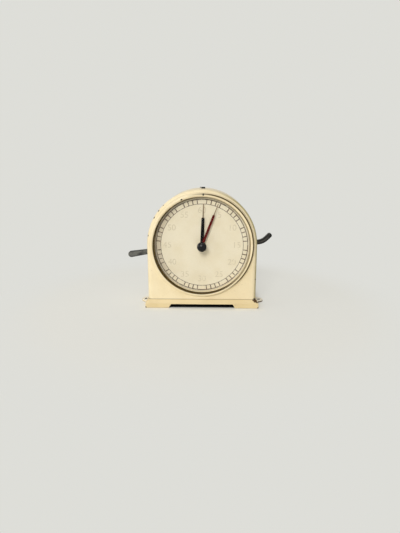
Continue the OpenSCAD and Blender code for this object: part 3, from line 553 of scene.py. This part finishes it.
class TIMER_OT_case(bpy.types.Operator):
    """Enamel the case, its back cover and the dial's spacer ring, and blacken the crest's plug"""

    bl_idname = "timer.case"
    bl_label = "Case"

    def grime(self, finish):
        """Painted shade along the foot of the case, where it sits on the plinth, and a brown line
        round the bezel that is painted shade with some grime, most of it at the right, away from
        the lamps.
        """
        # painted shade along the seam over the plinth
        foot = finish.outside(finish.along(UP), SEAM_Z + 0.2 * MM, SEAM_Z + 0.8 * MM)
        # painted shade round the bezel's foot, with some grime, stronger at the right where the lamps light it
        # least
        ring = finish.strip(finish.radius(), (53.8 * MM, 54.2 * MM), (54.5 * MM, 55.3 * MM))
        face = finish.outside(finish.along(BACK), FRONT + MM, FRONT + 2.0 * MM)
        right = finish.band(finish.along(RIGHT), 0.0, 45.0 * MM)
        share = finish.math("ADD", 0.25, finish.times(0.55, right))
        ring = finish.times(finish.times(ring, face), share)
        return finish.math("MAXIMUM", finish.times(0.5, foot), ring)

    def faded(self, finish):
        """Painted shade on the rounded edge on the winding lever's side, away from the lamps."""
        side = finish.band(finish.along(RIGHT), 5.0 * MM, 40.0 * MM)
        depth = finish.less(finish.along(BACK), FRONT)
        edge = finish.strip(depth, (0.5 * MM, 2.0 * MM), (5.0 * MM, 12.0 * MM))
        return finish.times(side, edge)

    def execute(self, context):
        front = FRONT / MM
        chips = [
            ((-56.2, front + 3.0, 77.5), 1.2), ((-49.8, front + 2.6, 96.6), 1.3),
            ((-45.0, front + 2.6, 103.7), 1.2), ((-40.0, front + 3.0, 109.4), 1.0),
            ((57.0, front + 2.0, 31.0), 0.9), ((57.0, front + 0.8, 9.2), 1.5),
        ]
        # painted shade on the right edge, at the foot and round the bezel, with some grime by the bezel
        cream = enamel("case_enamel", colours().case_cream, chips, self.grime, faded=self.faded,
                       shading_colour=PAINTED_SHADE_OLIVE)
        black = moulded_black("plug_black", (0.01, 0.01, 0.009))
        dressed("case_shell", "case_enamelled", cream, sizes().case_rounding)
        dressed("back_cover", "back_cover_enamelled", cream, sizes().case_rounding)
        coat("dial_ring", cream)
        dressed("oil_plug", "oil_plug_blackened", black, bevel=0.25 * MM)
        return {"FINISHED"}


class TIMER_OT_plinth(bpy.types.Operator):
    """Enamel the plinth, chipped at its corners and round its right ear, with painted light on
    its ear tops and painted shade at its top and foot, and left bare inside, near black as
    painted shade
    """

    bl_idname = "timer.plinth"
    bl_label = "Plinth"

    def grime(self, finish):
        """Painted shade along the top of the plinth, where the case sits on it, and a painted
        contact shadow along its lower edge.
        """
        height = finish.along(UP)
        # painted shade at the seam under the case
        top = finish.band(height, SEAM_Z - 0.4 * MM, SEAM_Z - 0.05 * MM)
        # painted contact shadow along the floor
        foot = finish.outside(height, 0.1 * MM, 0.7 * MM)
        return finish.math("MAXIMUM", finish.times(0.35, top), finish.times(0.5, foot))

    def bare(self, finish):
        """Where the plinth's inside was never enamelled; its near black steel also stands in for
        the shade in there.
        """
        return finish.add("Attribute", {"attribute_name": "inside"}).outputs["Fac"]

    def faded(self, finish):
        """Painted light on the tops of the two ears, paler where the case keeps the lamps' light
        off them.
        """
        side = finish.math("ABSOLUTE", finish.along(RIGHT))
        top = finish.band(finish.along(UP), 0.9 * MM, 1.3 * MM)
        return finish.times(top, finish.band(side, 60.8 * MM, 61.6 * MM))

    def execute(self, context):
        low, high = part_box("plinth")
        front = low.y / MM
        chips = [
            ((-60.6, front, 0.4), 1.2), ((60.6, front, 0.4), 1.3), ((56.6, front + 3.6, 9.0), 2.0),
            ((57.8, front + 2.5, 7.8), 1.7), ((59.0, front + 1.4, 6.4), 1.3),
            ((55.4, front + 2.6, 8.4), 1.5), ((56.8, front + 1.6, 7.2), 1.3),
        ]
        ear_radius, chip_ring = 8.0, 8.4
        ear_middle = high.x / MM - ear_radius
        chips += [((ear_middle + chip_ring * math.cos(a), chip_ring * math.sin(a), 0.5), 1.1)
                  for a in (-1.5, -1.3, -1.1, -0.9, -0.7, -0.5, -0.3)]
        # painted shade at the top and foot, near black inside, painted light on the ear tops
        cream = enamel("plinth_enamel", colours().plinth_cream, chips, self.grime, self.bare,
                       RUSTED_STEEL, self.faded, PAINTED_LIGHT_PALE)
        bm = solid_copy("plinth")
        bm.normal_update()
        # faces inside the plinth, left near black, which also stands in for the shade there
        inside = bm.faces.layers.float.new("inside")
        downwards, foot = -0.5, 4.0 * MM
        for face in bm.faces:
            centre, out = face.calc_center_median(), face.normal
            under = out.z < downwards and centre.z > foot
            face[inside] = float(under or centre.x * out.x < 0.0 or centre.y * out.y < 0.0)
        dress("plinth", "plinth_enamelled", bm, cream, sizes().plinth_rounding, segments=3)
        return {"FINISHED"}


class TIMER_OT_bezel(bpy.types.Operator):
    """Turn the half-round bezel with the groove that holds the glass"""

    bl_idname = "timer.bezel"
    bl_label = "Bezel"

    def grime(self, finish):
        """A dark line between the bezel and the glass, its two edges a little off the dial's axis
        and least of it at the right, and painted shade on the outer slope at the right, away from
        the lamps."""
        right = finish.band(finish.along((0.94, 0.0, 0.34)), 20.0 * MM, 55.0 * MM)
        # a dark line where the bezel meets the glass
        starts = finish.distance((0.2 * MM, 0.0, DIAL_Z - 0.9 * MM), FACE_ON)
        ends = finish.distance((-0.2 * MM, 0.0, DIAL_Z - 0.85 * MM), FACE_ON)
        line = finish.times(finish.band(starts, 48.9 * MM, 49.4 * MM),
                            finish.outside(ends, 50.9 * MM, 51.5 * MM))
        line = finish.times(line, finish.less(1.0, finish.times(right, 0.35)))
        # painted shade on the outer slope, at the right, away from the lamps
        slope = finish.strip(finish.radius(), (52.3 * MM, 53.0 * MM), (53.8 * MM, 54.3 * MM))
        return finish.math("MAXIMUM", line, finish.times(slope, right))

    def execute(self, context):
        low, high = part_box("bezel")
        width, play = 4.1, 0.05
        outer, inner = high.x / MM, high.x / MM - width
        front, back = (low.y - FRONT) / MM, (high.y - FRONT) / MM
        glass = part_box("glass")[1].x / MM + play
        groove_front, groove_back = -2.75, -0.75
        spigot_inner, spigot_outer = inner - 0.9, inner + 0.1
        band = (outer - inner) / 2
        crown = (outer - band, front + band)
        lip = 180.0 - math.degrees(math.asin((crown[1] - groove_front) / band))
        profile = [(outer, 0.0)] + arc(crown, band, 0.0, -lip, count=16)
        profile += [(glass, groove_front), (glass, groove_back), (spigot_inner, groove_back),
                    (spigot_inner, back), (spigot_outer, back), (spigot_outer, 0.0)]
        chips = [((-20.6, FRONT / MM - 3.3, 115.2), 1.1), ((1.3, FRONT / MM - 3.0, 120.4), 1.2)]
        cream = enamel("bezel_enamel", colours().case_cream, chips, self.grime)
        piece("bezel_turned", lathe(profile, steps=192), cream, "case", ["bezel"],
              TURNED_SHARP)
        return {"FINISHED"}


class TIMER_OT_glass(bpy.types.Operator):
    """Blow the domed glass, bored in the middle for the pointer's bush"""

    bl_idname = "timer.glass"
    bl_label = "Glass"

    def execute(self, context):
        low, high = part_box("glass")
        thick, flange = 1.8, 1.05
        edge = high.x / MM
        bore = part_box("glass_bush")[1].x / MM - flange
        rise = (high.y - low.y) / MM - thick
        crown = (low.y - FRONT) / MM
        dome = (edge ** 2 + rise ** 2) / (2 * rise)
        rim, hole = (math.degrees(math.asin(r / dome)) for r in (edge, bore))
        front = arc((0.0, crown + dome), dome, -90 + hole, -90 + rim, count=10)
        back = arc((0.0, crown + thick + dome), dome, -90 + rim, -90 + hole, count=10)
        piece("glass_domed", lathe(front + back, steps=128), clear_crystal("clear_crystal"), "case",
              ["glass"], TURNED_SHARP)
        return {"FINISHED"}


class TIMER_OT_dial(bpy.types.Operator):
    """Paint the dial and print its chapter ring and numerals"""

    bl_idname = "timer.dial"
    bl_label = "Dial"

    print_y = DIAL_FACE - 0.03 * MM
    ring_z = DIAL_Z - 0.4 * MM
    digit_share = 0.7  # a digit's height as a share of the type's size

    def ring(self, bm, radius, width):
        """A flat printed line round the dial, set a little low."""
        sides = (radius - width / 2, radius + width / 2)
        strip = [bm.verts.new((r, self.print_y, self.ring_z)) for r in sides]
        bmesh.ops.spin(bm, geom=strip + [bm.edges.new(strip)], cent=(0.0, 0.0, self.ring_z),
                       axis=BACK, angle=math.tau, steps=180, use_merge=True)

    def ticks(self, bm, inner, outer, width):
        """Second marks between the two lines, none at every fifth second, where the card shows."""
        for second in range(SECONDS):
            if second % FIVE:
                place = Matrix.Translation((0.0, self.print_y, self.ring_z))
                place @= Matrix.Rotation(math.tau * second / SECONDS, 4, "Y")
                place @= Matrix.Translation((0.0, 0.0, (inner + outer) / 2))
                place @= UPRIGHT @ Matrix.Diagonal((width, outer - inner, 1.0, 1.0))
                bmesh.ops.create_grid(bm, x_segments=1, y_segments=1, size=0.5, matrix=place)

    def numerals(self, material):
        """The seconds in fives, standing upright on a circle."""
        bm = bmesh.new()
        radius = sizes().numeral_radius
        for second in range(FIVE, SECONDS + FIVE, FIVE):
            curve = bpy.data.curves.new("numeral", "FONT")
            curve.body = str(second)
            curve.align_x = curve.align_y = "CENTER"
            curve.size = sizes().numeral_height / self.digit_share
            text = bpy.data.objects.new("numeral", curve)
            mesh = bpy.data.meshes.new_from_object(text)
            turn = math.tau * second / SECONDS
            place = (radius * math.sin(turn), self.print_y, DIAL_Z + radius * math.cos(turn))
            mesh.transform(Matrix.Translation(place) @ UPRIGHT)
            bm.from_mesh(mesh)
            bpy.data.objects.remove(text)
            bpy.data.curves.remove(curve)
            bpy.data.meshes.remove(mesh)
        piece("dial_numerals", bm, material, "case")

    def execute(self, context):
        inner, outer, margin = sizes().chapter_inner, sizes().chapter_outer, 48.4 * MM
        thin, thick, tick = 0.55 * MM, 0.9 * MM, 1.05 * MM
        cream = colours().dial_cream
        coat("dial", printed_card("dial_card", cream, margin))
        worn = [0.6 * c for c in cream]
        ink = printing_ink("chapter_ink", colours().ink, worn)
        bm = bmesh.new()
        self.ring(bm, inner, thin)
        self.ring(bm, outer, thick)
        self.ticks(bm, inner + thin / 2, outer - thick / 2, tick)
        for face in bm.faces:
            if face.normal.y > 0:
                face.normal_flip()
        piece("dial_chapter_ring", bm, ink, "case")
        self.numerals(printing_ink("numeral_ink", colours().faint_ink, cream))
        return {"FINISHED"}


class TIMER_OT_hands(bpy.types.Operator):
    """Lacquer the running hand and the preset pointer, leaving their needle ends bare"""

    bl_idname = "timer.hands"
    bl_label = "Hands"

    hub = 6.0 * MM
    before, after = 0.5, 2.0  # how far the corners of a blade's end lie round it

    def hand(self, node, paint, blade, shorter, wider):
        """Shorten and widen a hand's blade, which ends at a radius, all in millimetres."""
        bm = solid_copy(node)
        centre = Vector((0.0, 0.0, DIAL_Z))
        spokes = (vert.co - centre for vert in bm.verts)
        tip = max(spokes, key=lambda out: out.x ** 2 + out.z ** 2)
        across = Vector((tip.z, 0.0, -tip.x)).normalized()
        for vert in bm.verts:
            out = Vector((vert.co.x, 0.0, vert.co.z - DIAL_Z))
            if out.length > self.hub:
                vert.co += across * out.dot(across) * (wider - 1.0)
            if blade - self.before < out.length / MM < blade + self.after:
                vert.co -= out.normalized() * shorter * MM
        end = (blade - shorter + 0.5) * MM
        lacquer = lacquered_hand(node + "_lacquer", paint, end)
        dress(node, node + "_lacquered", bm, lacquer, bevel=0.08 * MM)

    def execute(self, context):
        red = colours().pointer_red
        self.hand("seconds_hand", HAND_BLACK, blade=30.5, shorter=2.0, wider=1.25)
        self.hand("set_pointer", red, blade=34.5, shorter=0.8, wider=1.15)
        return {"FINISHED"}


class TIMER_OT_knob(bpy.types.Operator):
    """Mould the fluted centre knob"""

    bl_idname = "timer.knob"
    bl_label = "Knob"

    def execute(self, context):
        black = moulded_black("knob_black", (0.006, 0.006, 0.007))
        dressed("set_knob", "set_knob_moulded", black, bevel=0.12 * MM, smooth=KNOB_SHARP)
        return {"FINISHED"}


class TIMER_OT_levers(bpy.types.Operator):
    """Blacken the winding lever and grey the start and stop lever"""

    bl_idname = "timer.levers"
    bl_label = "Levers"

    def streak(self, finish):
        """The middle of the winding lever's bend, where the painted highlight runs."""
        middle, radius = (62.0 * MM, 0.0, DIAL_Z + 12.0 * MM), 15.0 * MM
        off = finish.less(finish.distance(middle, FACE_ON), radius)
        return finish.outside(finish.math("ABSOLUTE", off), 0.3 * MM, 1.6 * MM)

    def flat(self, finish):
        """The middle of the stop lever's blade, where the painted highlight runs."""
        pivot = Vector(joints["stop_lever_swing"]["pos_m"])
        across = Vector((5.1, 0.0, -33.1)).normalized()
        off = finish.less(finish.along(across), pivot.dot(across))
        return finish.outside(finish.math("ABSOLUTE", off), 1.6 * MM, 3.3 * MM)

    def execute(self, context):
        # each lever's paler colour is its painted highlight
        black = oxidised_steel("lever_black_oxide", (0.007, 0.007, 0.006), (0.05, 0.049, 0.043),
                               self.streak)
        grey = oxidised_steel("lever_grey_oxide", (0.035, 0.035, 0.033), (0.125, 0.127, 0.117),
                              self.flat)
        rounding = sizes().lever_rounding
        dressed("winding_lever", "winding_lever_finished", black, rounding, segments=4)
        dressed("stop_lever", "stop_lever_finished", grey, rounding * 0.5, segments=3)
        return {"FINISHED"}


class TIMER_OT_stage(bpy.types.Operator):
    """Lay the floor, hang the backdrop and set the lamps and the camera"""

    bl_idname = "timer.stage"
    bl_label = "Stage"

    def looking(self, tree):
        """1 for a ray from the eye, straight or through gloss or glass, and 0 for one that carries
        light."""
        path = tree.nodes.new("ShaderNodeLightPath")
        seen = path.outputs["Is Camera Ray"]
        for ray in ("Is Glossy Ray", "Is Transmission Ray"):
            either = tree.nodes.new("ShaderNodeMath")
            either.operation = "MAXIMUM"
            tree.links.new(seen, either.inputs[0])
            tree.links.new(path.outputs[ray], either.inputs[1])
            seen = either.outputs[0]
        return seen

    def paper(self):
        """Pale paper that far away is seen as the backdrop's colour, whatever light falls on it,
        and is painted near black under the plinth as painted shade."""
        finish = Finish("stage_paper")
        finish.set(Roughness=0.9, Specular_IOR_Level=0.1)
        far = finish.band(finish.distance((0.0, 0.0, 0.0)), 0.07, 0.24)
        x, y = (finish.math("ABSOLUTE", finish.along(axis)) for axis in (RIGHT, BACK))
        width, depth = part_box("case_shell")[1].x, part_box("plinth")[1].y
        beside = finish.math("MAXIMUM", finish.less(x, width), finish.less(y, depth))
        near = finish.times(0.6, finish.band(beside, 0.0, 12.0 * MM))
        # painted shade: the paper under the plinth is near black
        under = finish.outside(beside, -4.0 * MM, -1.0 * MM)
        finish.colour(finish.mix(under, rgba(colours().floor), rgba(PAINTED_SHADE_UNDER_PLINTH)))
        seen = finish.times(finish.math("MAXIMUM", near, far), self.looking(finish.tree))
        plain = finish.add("Emission", Color=rgba(colours().backdrop), Strength=1.0).outputs[0]
        lit = finish.shader.outputs[0]
        finish.surface(finish.add("MixShader", Fac=seen, i1=lit, i2=plain).outputs[0])
        return finish.material

    def floor(self):
        """A floor that reaches three metres each way."""
        bm = bmesh.new()
        bmesh.ops.create_grid(bm, x_segments=1, y_segments=1, size=3.0)
        mesh = bpy.data.meshes.new("stage_floor")
        bm.to_mesh(mesh)
        bm.free()
        mesh.materials.append(self.paper())
        made = bpy.data.objects.new("stage_floor", mesh)
        bpy.context.scene.collection.objects.link(made)

    def lamp(self, name, place, size, power, colour=(1.0, 1.0, 1.0)):
        """A soft square lamp that points at the middle of the case."""
        light = bpy.data.lights.new(name, "AREA")
        light.size = size
        light.energy = power
        light.color = colour
        made = bpy.data.objects.new(name, light)
        made.location = place
        aim = Vector((0.0, 0.0, 0.06)) - Vector(place)
        made.rotation_euler = aim.to_track_quat("-Z", "Y").to_euler()
        bpy.context.scene.collection.objects.link(made)

    def camera(self):
        """A camera at the place, and with the tilt, that the object was seen from."""
        sensor, focal_pixels, photo_height = 36.0, 396.7, 533.0
        tilt, turn = 13.295, 1.317
        data = bpy.data.cameras.new("view")
        data.sensor_width = sensor
        data.lens = sensor * focal_pixels / photo_height
        data.clip_start, data.clip_end = 0.01, 20.0
        made = bpy.data.objects.new("view", data)
        made.location = (7.4 * MM, FRONT - 407.84 * MM, 141.7 * MM)
        made.rotation_euler = (math.radians(90.0 - tilt), 0.0, math.radians(turn))
        bpy.context.scene.collection.objects.link(made)
        bpy.context.scene.camera = made

    def world(self):
        """Light from all round, most of it from the window's side and from behind, seen as the
        backdrop's colour."""
        world = bpy.data.worlds.new("studio")
        world.use_nodes = True
        tree = world.node_tree
        seen, lit = tree.nodes["Background"], tree.nodes.new("ShaderNodeBackground")
        seen.inputs["Color"].default_value = rgba(colours().backdrop)
        seen.inputs["Strength"].default_value = 1.0
        lit.inputs["Color"].default_value = rgba(ROOM_LIGHT)
        side = tree.nodes.new("ShaderNodeSeparateXYZ")
        around = tree.nodes.new("ShaderNodeTexCoord").outputs["Generated"]
        tree.links.new(around, side.inputs[0])
        total = tree.nodes.new("ShaderNodeMath")
        from_window, from_behind = (-1.0, 1.0, 0.42, 0.06), (0.2, 1.0, 0.0, 0.7)
        for axis, ends in enumerate((from_window, from_behind)):
            fall = tree.nodes.new("ShaderNodeMapRange")
            for name, value in zip(("From Min", "From Max", "To Min", "To Max"), ends):
                fall.inputs[name].default_value = value
            tree.links.new(side.outputs[axis], fall.inputs[0])
            tree.links.new(fall.outputs[0], total.inputs[axis])
        tree.links.new(total.outputs[0], lit.inputs["Strength"])
        both = tree.nodes.new("ShaderNodeMixShader")
        tree.links.new(self.looking(tree), both.inputs[0])
        tree.links.new(lit.outputs[0], both.inputs[1])
        tree.links.new(seen.outputs[0], both.inputs[2])
        tree.links.new(both.outputs[0], tree.nodes["World Output"].inputs["Surface"])
        bpy.context.scene.world = world

    def execute(self, context):
        self.floor()
        self.lamp("key", (-0.95, -4.45, 2.5), size=1.8, power=157.0, colour=KEY_LIGHT)
        self.lamp("window", (-2.0, -0.7, 0.5), size=1.0, power=8.5)
        self.lamp("top", (0.0, -0.4, 1.3), size=0.9, power=3.5)
        self.world()
        self.camera()
        context.scene.view_settings.view_transform = "Standard"
        return {"FINISHED"}


PIECES = (
    TIMER_OT_movement, TIMER_OT_case, TIMER_OT_plinth, TIMER_OT_bezel, TIMER_OT_glass,
    TIMER_OT_dial, TIMER_OT_hands, TIMER_OT_knob, TIMER_OT_levers, TIMER_OT_stage,
)


class TIMER_PT_pieces(bpy.types.Panel):
    """Everything that this file makes"""

    bl_idname = "TIMER_PT_pieces"
    bl_label = "Interval timer"
    bl_space_type = "VIEW_3D"
    bl_region_type = "UI"
    bl_category = "Timer"

    def draw(self, context):
        for group in (context.scene.timer_sizes, context.scene.timer_colours):
            for name in group.__annotations__:
                self.layout.prop(group, name)
        for operator in PIECES:
            self.layout.operator(operator.bl_idname)


CLASSES = (TimerSizes, TimerColours, *PIECES, TIMER_PT_pieces)


def register():
    for cls in CLASSES:
        bpy.utils.register_class(cls)
    bpy.types.Scene.timer_sizes = bpy.props.PointerProperty(type=TimerSizes)
    bpy.types.Scene.timer_colours = bpy.props.PointerProperty(type=TimerColours)


def unregister():
    del bpy.types.Scene.timer_colours
    del bpy.types.Scene.timer_sizes
    for cls in reversed(CLASSES):
        bpy.utils.unregister_class(cls)


def main():
    """Make every piece and the stage."""
    register()
    bpy.ops.timer.movement()
    bpy.ops.timer.case()
    bpy.ops.timer.plinth()
    bpy.ops.timer.bezel()
    bpy.ops.timer.glass()
    bpy.ops.timer.dial()
    bpy.ops.timer.hands()
    bpy.ops.timer.knob()
    bpy.ops.timer.levers()
    bpy.ops.timer.stage()


if __name__ == "__main__":
    main()
